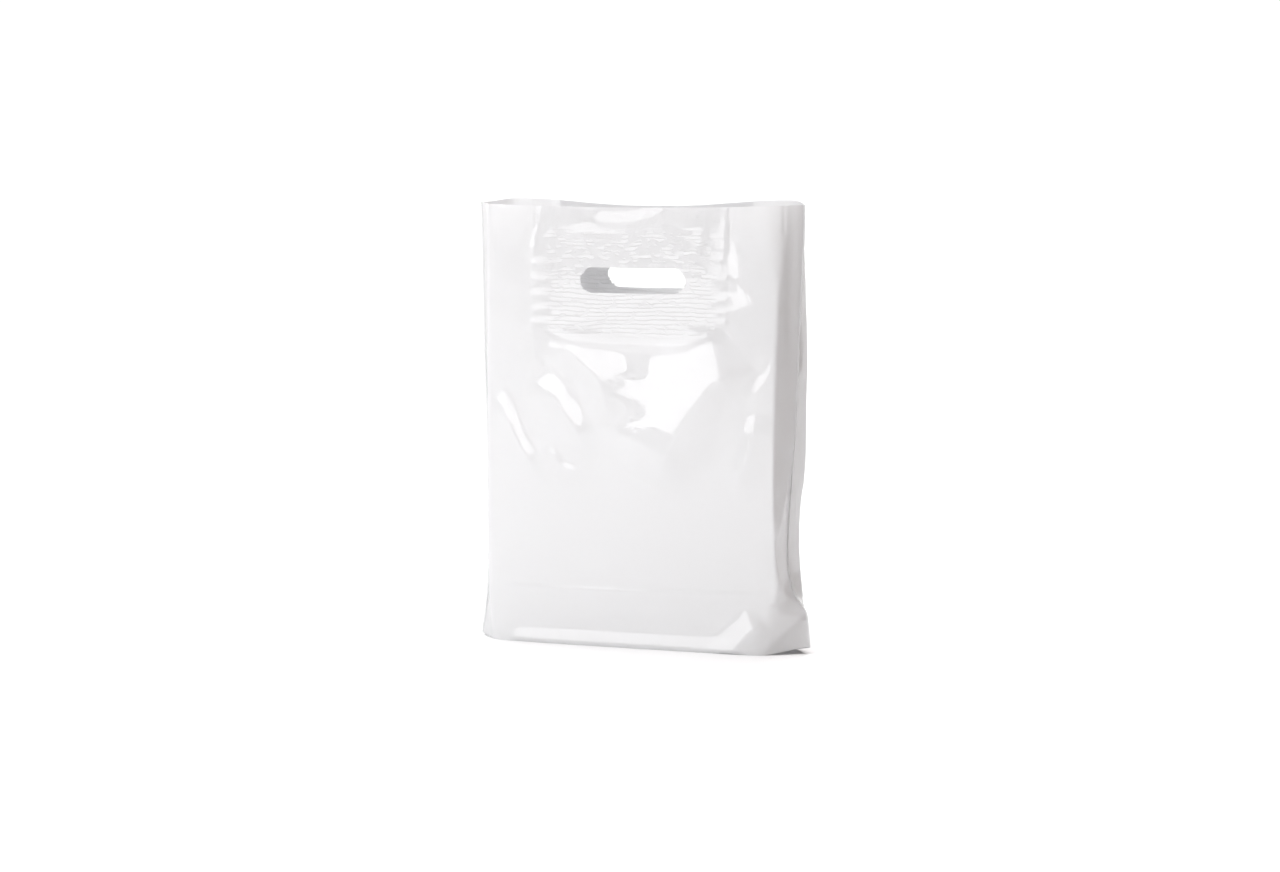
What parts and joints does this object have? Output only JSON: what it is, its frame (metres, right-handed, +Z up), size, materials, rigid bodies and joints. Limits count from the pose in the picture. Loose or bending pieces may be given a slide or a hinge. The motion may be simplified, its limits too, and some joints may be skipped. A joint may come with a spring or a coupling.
{
  "type": "plastic carrier bag",
  "caption": "Glossy white polythene carrier bag standing open on its bottom gusset, with a die-cut slot handle through both walls and a reinforcing patch inside each.",
  "frame": {"origin": "on the floor under the middle of the standing bag", "axes": "+Z up to the rim, +X along the bag's width, front wall facing -Y"},
  "size_m": [0.3676, 0.075, 0.4495],
  "materials": {
    "film": "smooth glossy opaque white polythene film, slack and lightly creased",
    "patch_film": "white polythene film sealed on from inside, finely rippled by the heat"
  },
  "bodies": {
    "root": {"bag_film": "film", "front_patch": "patch_film", "back_patch": "patch_film"}
  },
  "joints": []
}
